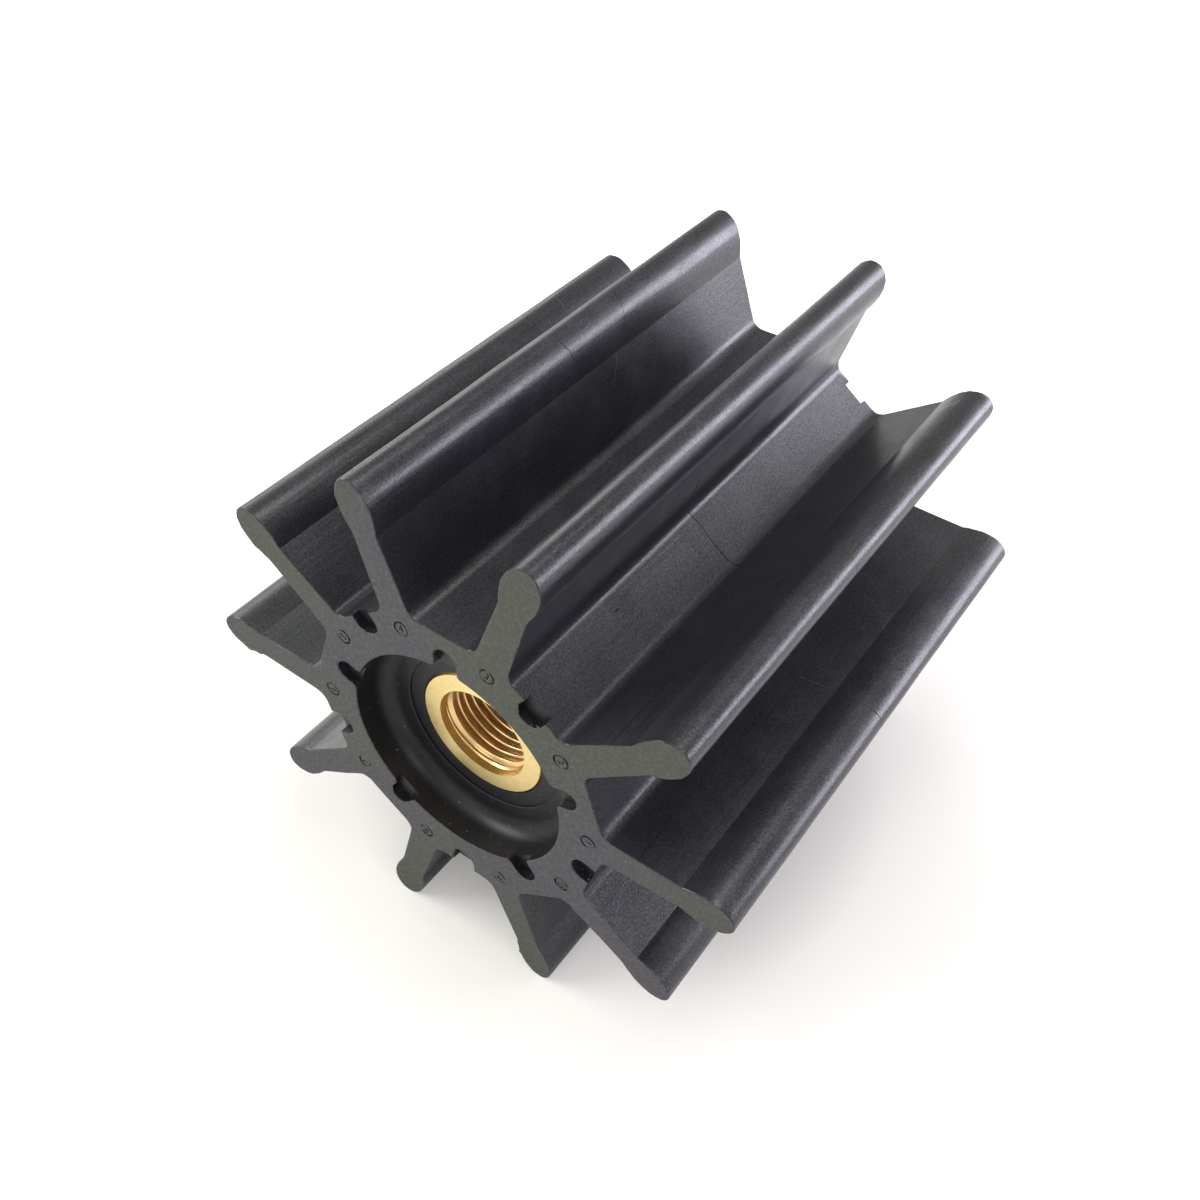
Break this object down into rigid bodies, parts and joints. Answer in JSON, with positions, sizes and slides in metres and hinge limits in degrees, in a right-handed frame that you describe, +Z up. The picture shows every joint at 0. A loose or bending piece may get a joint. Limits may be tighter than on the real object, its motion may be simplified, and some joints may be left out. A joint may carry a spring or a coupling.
{
  "type": "rubber pump impeller",
  "caption": "Flexible pump impeller: a moulded rubber hub with straight bulb-tipped blades, bonded round a brass insert with a puller thread and a keyed shaft bore.",
  "frame": {"origin": "on the shaft axis, halfway along the impeller", "axes": "+Y along the shaft axis, from the end with the puller thread to the end with the keyed bore; +X along one blade; +Z up, along the keyway, with two blades reaching down past -Z to carry the impeller on a table"},
  "size_m": [0.095, 0.091, 0.0906],
  "materials": {
    "rubber": "matte",
    "brass": "satin"
  },
  "bodies": {
    "root": {"rubber_body": "rubber", "brass_insert": "brass"}
  },
  "joints": []
}
